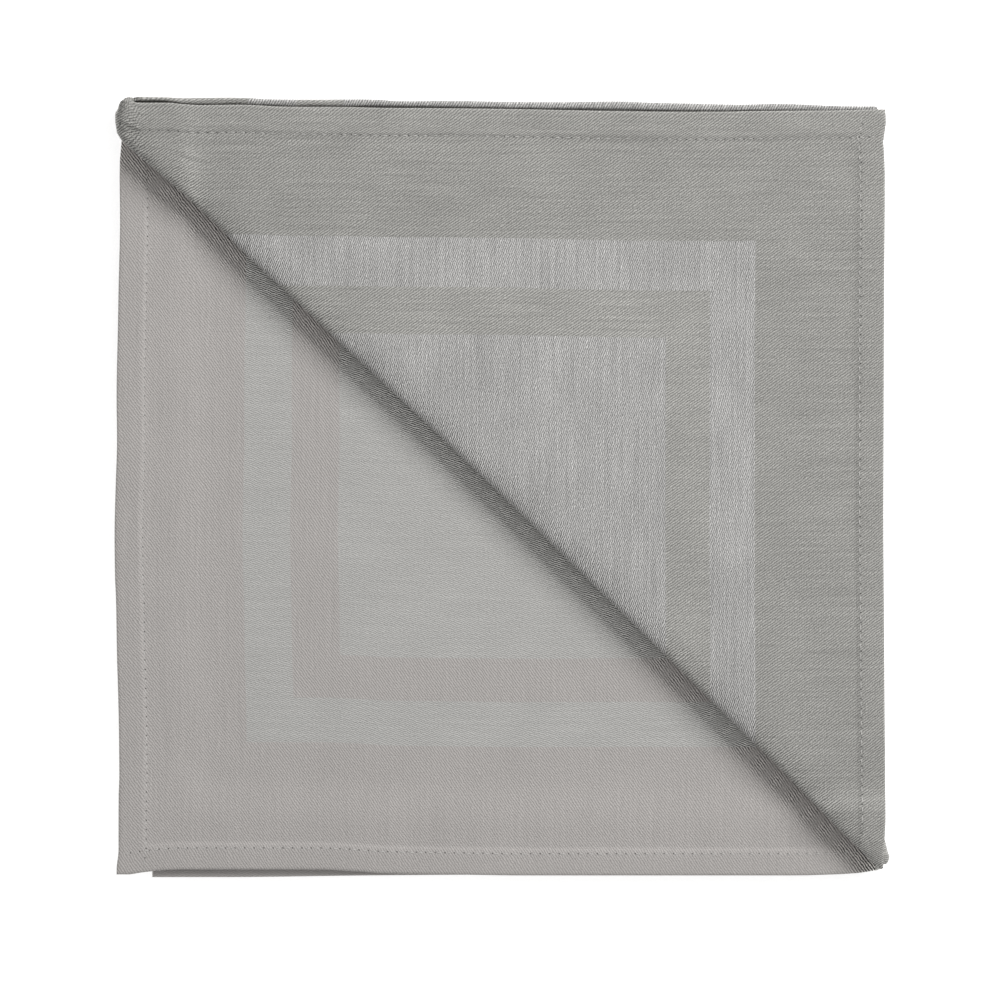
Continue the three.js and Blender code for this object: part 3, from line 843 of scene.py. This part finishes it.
def turned_back_painted_shade(points, normals, shares, flat):
    """Where the cloth has its darker turned-back tone of painted shade: the corner, the outer fold and the
    lower crease.
    """
    raised = (points[:, 2] > FLAP_HEIGHTS[0]) & (points[:, 2] < FLAP_HEIGHTS[1])
    on_top = raised & (normals[:, 2] > FLAP_FACES_UP) & (shares.sum(axis=1) < FLAP_SHARES)
    on_quarter = (flat[:, 0] < FLAP_WARP_END * QUARTER_WIDTH) & (flat[:, 1] < FLAP_WEFT_END * QUARTER_HEIGHT)
    on_fold = (shares[:, 1] > FOLD_SHARE) & (points[:, 1] > TOP_SIDE - FOLD_DEPTH)
    on_lower_crease = (points[:, 2] < LOWER_LAYERS_TOP) & (points[:, 0] > RIGHT_SIDE)
    return (on_top & on_quarter) | on_fold | on_lower_crease


def painted_light_by_roll(points):
    """1 on the cloth beside the foot of the roll, less on the roll itself, 0 away from it: the share of
    painted light and shade of the yarns.
    """
    out = along_roll(points[:, 0], points[:, 1])[1]
    beside = 1 - smooth_step(*ROLL_FOOT_ZONE, -out)
    on_roll = ON_ROLL_SHARE * (1 - smooth_step(*ON_ROLL_ZONE, out))
    return np.where(out < 0, beside, on_roll)


def add_flat_places(piece, flat):
    """Place on the flat cloth in millimetres, as texture coordinates."""
    loops = np.zeros(len(piece.data.loops), np.int32)
    piece.data.loops.foreach_get("vertex_index", loops)
    layer = piece.data.uv_layers.new(name="cloth")
    layer.data.foreach_set("uv", flat[loops].astype(np.float32).ravel())


def add_values(piece, name, front, back):
    """A value for each point of the front skin and of the back one."""
    attribute = piece.data.attributes.new(name, "FLOAT", "POINT")
    attribute.data.foreach_set("value", np.concatenate((front, back)).astype(np.float32))


# Materials


class Graph:
    """Short names for shader nodes."""

    def __init__(self, name):
        self.material = bpy.data.materials.new(name)
        self.material.use_nodes = True
        self.tree = self.material.node_tree
        self.shader = self.tree.nodes["Principled BSDF"]

    def node(self, kind, **settings):
        node = self.tree.nodes.new(kind)
        for key, value in settings.items():
            setattr(node, key, value)
        return node

    def plug(self, socket, value):
        if isinstance(value, bpy.types.NodeSocket):
            self.tree.links.new(value, socket)
        else:
            socket.default_value = value

    def math(self, operation, *values):
        node = self.node("ShaderNodeMath", operation=operation)
        for socket, value in zip(node.inputs, values):
            self.plug(socket, value)
        return node.outputs[0]

    def add(self, a, b):
        return self.math("ADD", a, b)

    def sub(self, a, b):
        return self.math("SUBTRACT", a, b)

    def mul(self, a, b):
        return self.math("MULTIPLY", a, b)

    def blend(self, a, b, share):
        node = self.node("ShaderNodeMix", data_type="FLOAT")
        self.plug(node.inputs[0], share)
        self.plug(node.inputs[2], a)
        self.plug(node.inputs[3], b)
        return node.outputs[0]

    def blend_colour(self, a, b, share):
        node = self.node("ShaderNodeMix", data_type="RGBA")
        self.plug(node.inputs[0], share)
        # The node has its colour sockets after those for numbers and vectors
        self.plug(node.inputs[6], a)
        self.plug(node.inputs[7], b)
        return node.outputs[2]

    def step(self, value, low, high):
        node = self.node("ShaderNodeMapRange", interpolation_type="SMOOTHSTEP")
        self.plug(node.inputs[0], value)
        node.inputs[1].default_value = low
        node.inputs[2].default_value = high
        return node.outputs[0]

    def vector(self, x, y, z=0.0):
        node = self.node("ShaderNodeCombineXYZ")
        for socket, value in zip(node.inputs, (x, y, z)):
            self.plug(socket, value)
        return node.outputs[0]

    def noise(self, vector, scale, detail=2.0, roughness=0.5):
        node = self.node("ShaderNodeTexNoise")
        self.plug(node.inputs["Vector"], vector)
        node.inputs["Scale"].default_value = scale
        node.inputs["Detail"].default_value = detail
        node.inputs["Roughness"].default_value = roughness
        return node.outputs[0]

    def attribute(self, name):
        node = self.node("ShaderNodeAttribute", attribute_name=name)
        return node.outputs["Fac"]


def cloth_coordinates(g):
    uv = g.node("ShaderNodeUVMap", uv_map="cloth")
    split = g.node("ShaderNodeSeparateXYZ")
    g.plug(split.inputs[0], uv.outputs[0])
    return split.outputs[0], split.outputs[1]


def beyond_line(g, place, line):
    return g.step(place, line - BORDER_LINE_SOFTNESS, line + BORDER_LINE_SOFTNESS)


def light_zones(g, warp, weft):
    """1 in the light band and in the centre, 0 in the rest. Then 1 inside the border."""
    weft_in = g.math("MINIMUM", weft, g.sub(FULL_WEFT, weft))
    rings = []
    for left, right, side in zip(BORDER_LINES_WARP_LEFT, BORDER_LINES_WARP_RIGHT, BORDER_LINES_WEFT):
        in_left = beyond_line(g, warp, left)
        in_right = beyond_line(g, g.sub(FULL_WARP, warp), right)
        in_side = beyond_line(g, weft_in, side)
        rings.append(g.mul(g.mul(in_left, in_right), in_side))
    return g.add(g.sub(rings[0], rings[1]), rings[2]), rings[0]


def satin(g, long_place, cross_place):
    """Height of one satin face, 0 to 1: yarns that float over four others and dip under the fifth."""
    across = g.math("FRACT", cross_place)
    number = g.math("FLOOR", cross_place)
    phase = g.math("FLOORED_MODULO", g.sub(long_place, g.mul(number, SATIN_MOVE)), SATIN_REPEAT)
    yarn = g.math("SINE", g.mul(across, math.pi))
    yarn = g.math("POWER", g.math("MAXIMUM", yarn, 0.0), YARN_FLATNESS)
    arch_length = math.pi / (SATIN_REPEAT - 1)
    arch = g.math("SINE", g.mul(g.math("MAXIMUM", g.sub(phase, 1.0), 0.0), arch_length))
    arch = g.math("POWER", g.math("MAXIMUM", arch, 0.0), 0.5)
    floating = g.mul(yarn, g.add(g.mul(arch, 1 - DIP_HEIGHT), DIP_HEIGHT))
    bound = g.mul(g.math("SINE", g.mul(g.math("FRACT", long_place), math.pi)), DIP_HEIGHT)
    under = g.math("LESS_THAN", phase, 1.0)
    twill_place = g.sub(long_place, g.add(g.mul(cross_place, SATIN_MOVE), SATIN_MOVE))
    twill = g.math("COSINE", g.mul(twill_place, 2 * math.pi / SATIN_REPEAT))
    twill = g.add(0.5, g.mul(twill, 0.5))
    # More twill beside the roll, for its painted light and shade
    twill_share = g.add(TWILL_SHARE, g.mul(g.attribute("painted_light_by_roll"), TWILL_BY_ROLL))
    return g.blend(g.blend(floating, bound, under), twill, twill_share)


def weave(g, warp, weft, light):
    """Height of the damask, the share of warp that shows, and the marks of the reed."""
    drift = g.noise(g.vector(warp, weft), DRIFT_SCALE, 2.0)
    wobble = g.noise(g.vector(weft, warp), WOBBLE_SCALE, 2.0, WOBBLE_FINENESS)
    drift = g.add(g.mul(drift, DRIFT), g.mul(wobble, WOBBLE))
    ends = g.add(g.math("DIVIDE", weft, END_PITCH), drift)
    picks = g.add(g.math("DIVIDE", warp, PICK_PITCH), g.mul(drift, PICK_DRIFT_SHARE))
    weft_face = satin(g, ends, picks)
    warp_face = satin(g, picks, ends)
    side = g.attribute("right_side")
    warp_shows = g.blend(g.sub(1.0, light), light, side)
    height = g.blend(weft_face, warp_face, warp_shows)
    reed = g.math("SINE", g.mul(g.math("FRACT", g.math("DIVIDE", ends, REED_YARNS)), math.pi))
    reed = g.math("POWER", reed, REED_FLATNESS)
    return height, warp_shows, reed


def stitch_holes(g, warp, weft):
    """1 at the needle holes of the hems."""
    warp_in = g.math("MINIMUM", warp, g.sub(FULL_WARP, warp))
    weft_in = g.math("MINIMUM", weft, g.sub(FULL_WEFT, weft))
    holes = []
    on_first_half = g.math("LESS_THAN", warp, FULL_WARP / 2)
    narrower_line = g.blend(STITCH_LINE_NARROWER, STITCH_LINE_TURNED, on_first_half)
    for inside, line, along, other in (
        (warp_in, STITCH_LINE, weft, weft_in), (weft_in, narrower_line, warp, warp_in),
    ):
        phase = g.math("FLOORED_MODULO", along, STITCH_PITCH)
        off_phase = g.math("ABSOLUTE", g.sub(phase, STITCH_PITCH / 2))
        off_line = g.math("ABSOLUTE", g.sub(inside, line))
        near = g.math("SQRT", g.add(g.math("POWER", off_phase, 2.0), g.math("POWER", off_line, 2.0)))
        spot = g.sub(1.0, g.step(near, *HOLE_EDGE))
        holes.append(g.mul(spot, g.step(other, *HOLES_START)))
    return g.math("MAXIMUM", holes[0], holes[1])


# Colours of the ground and of the light bands, on the right side and, darkened as painted shade, where
# it is turned back. Then how much lighter that painted shade is in the dark band

GROUND_COLOUR = (0.435, 0.413, 0.397, 1)
BAND_COLOUR = (0.457, 0.452, 0.435, 1)
TURNED_GROUND_SHADED_COLOUR = (0.334, 0.329, 0.311, 1)
TURNED_BAND_SHADED_COLOUR = (0.424, 0.418, 0.408, 1)
DARK_BAND_LIFT = 0.09

# Contrast of the weave: painted shade between the yarns, streaks of thicker yarn, grain, reed marks
# and clouds. Then more painted yarn light and shade in the roll's shadow, and stronger contrast on the
# turned-back parts, in their light bands and in the plain light bands

YARN_CONTRAST = 0.36
STREAK_CONTRAST = 0.19
GRAIN_CONTRAST = 0.30
REED_CONTRAST = 0.08
CLOUD_CONTRAST = 0.10
ROLL_YARN_CONTRAST = 5.2
TURNED_CONTRAST = 2.8
TURNED_BAND_CONTRAST = 3.7
PLAIN_BAND_CONTRAST = 1.35

# Mean height of the yarns and of the reed marks, and how far beside the roll it drops, which lifts the
# roll's shadow with painted light

YARN_MIDDLE = 0.6
YARN_MIDDLE_DROP = 0.1
REED_MIDDLE = 0.75

# Relief in millimetres, and gloss on the weft side and on the warp side

YARN_RELIEF = 0.10
GRAIN_RELIEF = 0.16
HOLE_RELIEF = 0.3
WEFT_ROUGHNESS = 0.85
WARP_ROUGHNESS = 0.6
SHEEN = 0.15

# Sewing thread, with painted shade between its plies

THREAD_COLOUR = (0.60, 0.59, 0.57)
THREAD_ROUGHNESS = 0.5
PLY_SCALE = 900
PLY_PAINTED_SHADE = 0.1


def cloth_material():
    g = Graph("damask")
    warp, weft = cloth_coordinates(g)
    light, inside = light_zones(g, warp, weft)
    height, warp_shows, reed = weave(g, warp, weft, light)
    holes = stitch_holes(g, warp, weft)
    # The turned-back corner, the outer fold and the lower crease take darker colours: painted shade
    turned = g.attribute("turned_back_painted_shade")
    plain = g.blend_colour(GROUND_COLOUR, BAND_COLOUR, light)
    turned_over = g.blend_colour(TURNED_GROUND_SHADED_COLOUR, TURNED_BAND_SHADED_COLOUR, light)
    base = g.blend_colour(plain, turned_over, turned)
    along_warp = g.vector(g.mul(warp, STREAK_ALONG), g.mul(weft, WARP_STREAK_ACROSS))
    along_weft = g.vector(g.mul(warp, WEFT_STREAK_ACROSS), g.mul(weft, STREAK_ALONG))
    warp_streak = g.noise(along_warp, 1.0, 2.0, STREAK_FINENESS)
    weft_streak = g.noise(along_weft, 1.0, 2.0, STREAK_FINENESS)
    streak = g.blend(weft_streak, warp_streak, warp_shows)
    cloud = g.noise(g.vector(warp, weft), CLOUD_SCALE, 3.0)
    grain = g.noise(g.vector(warp, weft), GRAIN_SCALE, 2.0, GRAIN_FINENESS)
    # The painted shade of the turned-back parts is a little lighter in the dark band
    in_dark_band = g.mul(inside, g.sub(1.0, light))
    shade = g.add(1.0, g.mul(g.mul(in_dark_band, turned), DARK_BAND_LIFT))
    plain_contrast = g.blend(1.0, PLAIN_BAND_CONTRAST, light)
    turned_contrast = g.blend(TURNED_CONTRAST, TURNED_BAND_CONTRAST, light)
    stronger = g.blend(plain_contrast, turned_contrast, turned)
    # In the roll's shadow the yarns take painted contrast and a painted lift of light
    painted_light_at_roll = g.attribute("painted_light_by_roll")
    yarn_contrast = g.mul(g.add(1.0, g.mul(painted_light_at_roll, ROLL_YARN_CONTRAST)), YARN_CONTRAST)
    yarn_middle = g.sub(YARN_MIDDLE, g.mul(painted_light_at_roll, YARN_MIDDLE_DROP))
    # The yarn heights darken the colour between the yarns: painted shade
    for part, middle, contrast in (
        (height, yarn_middle, yarn_contrast), (reed, REED_MIDDLE, REED_CONTRAST),
        (streak, 0.5, STREAK_CONTRAST), (cloud, 0.5, CLOUD_CONTRAST), (grain, 0.5, GRAIN_CONTRAST),
    ):
        shade = g.mul(shade, g.add(1.0, g.mul(g.mul(g.sub(part, middle), contrast), stronger)))
    # Painted shade in the needle holes
    shade = g.mul(shade, g.sub(1.0, g.mul(holes, HOLE_PAINTED_SHADE)))
    colour = g.node("ShaderNodeVectorMath", operation="SCALE")
    g.plug(colour.inputs[0], base)
    g.plug(colour.inputs["Scale"], shade)
    g.plug(g.shader.inputs["Base Color"], colour.outputs[0])
    g.plug(g.shader.inputs["Roughness"], g.blend(WEFT_ROUGHNESS, WARP_ROUGHNESS, warp_shows))
    g.shader.inputs["Sheen Weight"].default_value = SHEEN
    relief = g.add(g.mul(height, YARN_RELIEF), g.mul(grain, GRAIN_RELIEF))
    relief = g.sub(relief, g.mul(holes, HOLE_RELIEF))
    bump = g.node("ShaderNodeBump")
    bump.inputs["Strength"].default_value = 1.0
    bump.inputs["Distance"].default_value = MM
    g.plug(bump.inputs["Height"], relief)
    g.plug(g.shader.inputs["Normal"], bump.outputs[0])
    return g.material


def thread_material():
    g = Graph("thread")
    place = g.node("ShaderNodeTexCoord").outputs["Object"]
    ply = g.node("ShaderNodeTexWave", wave_type="BANDS", bands_direction="DIAGONAL")
    g.plug(ply.inputs["Vector"], place)
    ply.inputs["Scale"].default_value = PLY_SCALE
    # Painted shade between the plies
    shade = g.add(1 - PLY_PAINTED_SHADE, g.mul(ply.outputs["Fac"], PLY_PAINTED_SHADE))
    colour = g.node("ShaderNodeVectorMath", operation="SCALE")
    colour.inputs[0].default_value = THREAD_COLOUR
    g.plug(colour.inputs["Scale"], shade)
    g.plug(g.shader.inputs["Base Color"], colour.outputs[0])
    g.shader.inputs["Roughness"].default_value = THREAD_ROUGHNESS
    return g.material


# Stitches: short tubes of thread on the skin of the hems

STITCH_SKIN = mix(HEM_THICKNESS, CLOTH_THICKNESS, STITCH_SKIN_SHARE) / 2


def stitch_run(place, count):
    """Points and normals of count stitches. place gives them for lengths along the hem."""
    runs = []
    for number in range(count):
        start = (number + 0.5) * STITCH_PITCH + (STITCH_PITCH - STITCH_LENGTH) / 2
        lengths = start + np.linspace(0, STITCH_LENGTH, len(STITCH_HEIGHTS))
        runs.append(place(lengths))
    return runs


def tube(line, normals):
    along = np.gradient(line, axis=0)
    along /= np.linalg.norm(along, axis=1, keepdims=True)
    sideways = np.cross(along, normals)
    sideways /= np.linalg.norm(sideways, axis=1, keepdims=True)
    upward = np.cross(sideways, along)
    angle = np.linspace(0, 2 * math.pi, THREAD_SIDES, endpoint=False)
    width = THREAD_RADIUS * np.array(STITCH_WIDTHS)[:, None, None]
    ring = sideways[:, None] * np.cos(angle)[None, :, None] + upward[:, None] * np.sin(angle)[None, :, None]
    return line[:, None] + ring * width


def tube_faces(start):
    rings = len(STITCH_HEIGHTS)
    sides = THREAD_SIDES
    faces = []
    for ring in range(rings - 1):
        for side in range(sides):
            a = start + ring * sides + side
            b = start + ring * sides + (side + 1) % sides
            faces.append((a, b, b + sides, a + sides))
    faces.append(tuple(start + side for side in reversed(range(sides))))
    faces.append(tuple(start + (rings - 1) * sides + side for side in range(sides)))
    return faces


def line_shares(lengths, runs_up, line_up):
    """Shares of a layer along the stitch line that runs up it, or along the one across it."""
    share = lengths / QUARTER_WIDTH
    if runs_up:
        return np.full_like(share, STITCH_LINE / QUARTER_WIDTH), share
    return share, np.full_like(share, line_up)


def line_on_layer(layer, runs_up, side):
    def place(lengths):
        across, up = line_shares(lengths, runs_up, STITCH_LINE_NARROWER / SECOND_LAYER_HEIGHT)
        points = blunt_corner(layer_point(layer, across, up))
        normals = np.tile(np.array((0.0, 0.0, side)), (len(lengths), 1))
        return points + normals * STITCH_SKIN, normals
    return place


def line_on_flap(runs_up, side):
    def place(lengths):
        across, up = line_shares(lengths, runs_up, STITCH_LINE_TURNED / FLAP_HEIGHT_AT_RIGHT)
        here = flap_point(across, up)
        east = flap_point(across + SLOPE_STEP, up) - here
        north = flap_point(across, up + SLOPE_STEP) - here
        normals = np.cross(north, east)
        normals /= -np.linalg.norm(normals, axis=1, keepdims=True)
        normals *= np.sign(normals[:, 2:3]) * side
        return here + normals * STITCH_SKIN, normals
    return place


def flap_point(across, up):
    return roll_point(*on_flap(across, up), across, up)


def hem_lines():
    """Each stitch line on both faces of the cloth, with how far it runs."""
    lines = []
    for side in (1.0, -1.0):
        for layer in (SECOND, THIRD, FOURTH):
            lines.append((line_on_layer(layer, True, side), LEFT_LINE_SHARE))
            lines.append((line_on_layer(layer, False, side), BOTTOM_LINE_SHARE))
        lines.append((line_on_flap(True, side), TURNED_SIDE_LINE_SHARE))
        lines.append((line_on_flap(False, side), TURNED_TOP_LINE_SHARE))
    return lines


def make_stitches():
    vertices = []
    faces = []
    heights = np.array(STITCH_HEIGHTS)[:, None]
    for place, share in hem_lines():
        count = int(share * QUARTER_WIDTH / STITCH_PITCH)
        for points, normals in stitch_run(place, count):
            faces.extend(tube_faces(len(vertices) * len(STITCH_HEIGHTS) * THREAD_SIDES))
            vertices.append(tube(points + normals * heights, normals).reshape(-1, 3))
    return add_object("napkin_stitches", to_frame(np.concatenate(vertices)), faces)


# Studio: what the picture shows from side to side in metres, its middle in the drawing's millimetres,
# then the camera, the key light, the fill light and the floor

PHOTO_WIDTH = 0.327
VIEW_CENTRE = (-0.8175, -4.0875)
SENSOR_WIDTH = 36
CAMERA_HEIGHT = 3.0
CAMERA_REACH = 20
CLOTH_TOP = 0.005
KEY_ELEVATION = 32.0
KEY_AZIMUTH = 46.0
KEY_DISTANCE = 1.6
KEY_SIZE = 0.66
KEY_POWER = 25.0
FILL_STRENGTH = 0.50
FLOOR_SIZE = 8
FLOOR_HEIGHT = -0.0002
FLOOR_COLOUR = (0.92, 0.92, 0.92, 1)
FLOOR_ROUGHNESS = 0.9
FLOOR_GLOW = 0.6


def make_camera():
    data = bpy.data.cameras.new("camera")
    data.type = "PERSP"
    data.sensor_width = SENSOR_WIDTH
    data.lens = SENSOR_WIDTH * CAMERA_HEIGHT / PHOTO_WIDTH
    data.clip_end = CAMERA_REACH
    camera = bpy.data.objects.new("camera", data)
    x = (VIEW_CENTRE[0] + CENTRE_SHIFT[0]) * MM
    y = (VIEW_CENTRE[1] + CENTRE_SHIFT[1]) * MM
    camera.location = (x, y, CAMERA_HEIGHT + CLOTH_TOP)
    bpy.context.scene.collection.objects.link(camera)
    bpy.context.scene.camera = camera


def plain_colours():
    """Shows the colours as they are, without a film look."""
    bpy.context.scene.view_settings.view_transform = "Standard"


def make_lights():
    data = bpy.data.lights.new("key", "AREA")
    data.shape = "SQUARE"
    data.size = KEY_SIZE
    data.energy = KEY_POWER
    key = bpy.data.objects.new("key", data)
    elevation = math.radians(KEY_ELEVATION)
    azimuth = math.radians(KEY_AZIMUTH)
    level = KEY_DISTANCE * math.cos(elevation)
    key.location = (level * math.cos(azimuth), level * math.sin(azimuth), KEY_DISTANCE * math.sin(elevation))
    key.rotation_euler = (math.pi / 2 - elevation, 0, azimuth + math.pi / 2)
    bpy.context.scene.collection.objects.link(key)
    world = bpy.data.worlds.new("world")
    world.use_nodes = True
    background = world.node_tree.nodes["Background"]
    background.inputs["Color"].default_value = (1, 1, 1, 1)
    background.inputs["Strength"].default_value = FILL_STRENGTH
    bpy.context.scene.world = world


def floor_material():
    g = Graph("floor")
    g.shader.inputs["Base Color"].default_value = FLOOR_COLOUR
    g.shader.inputs["Roughness"].default_value = FLOOR_ROUGHNESS
    g.shader.inputs["Emission Color"].default_value = (1, 1, 1, 1)
    g.shader.inputs["Emission Strength"].default_value = FLOOR_GLOW
    return g.material


def make_floor():
    bpy.ops.mesh.primitive_plane_add(size=FLOOR_SIZE, location=(0, 0, FLOOR_HEIGHT))
    floor = bpy.context.object
    floor.name = "floor"
    floor.data.materials.append(floor_material())


def main():
    cloth = make_cloth()
    cloth.data.materials.append(cloth_material())
    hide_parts("napkin")
    stitches = make_stitches()
    stitches.data.materials.append(thread_material())
    for piece in (cloth, stitches):
        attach(piece, "root")
    make_camera()
    plain_colours()
    make_lights()
    make_floor()


main()
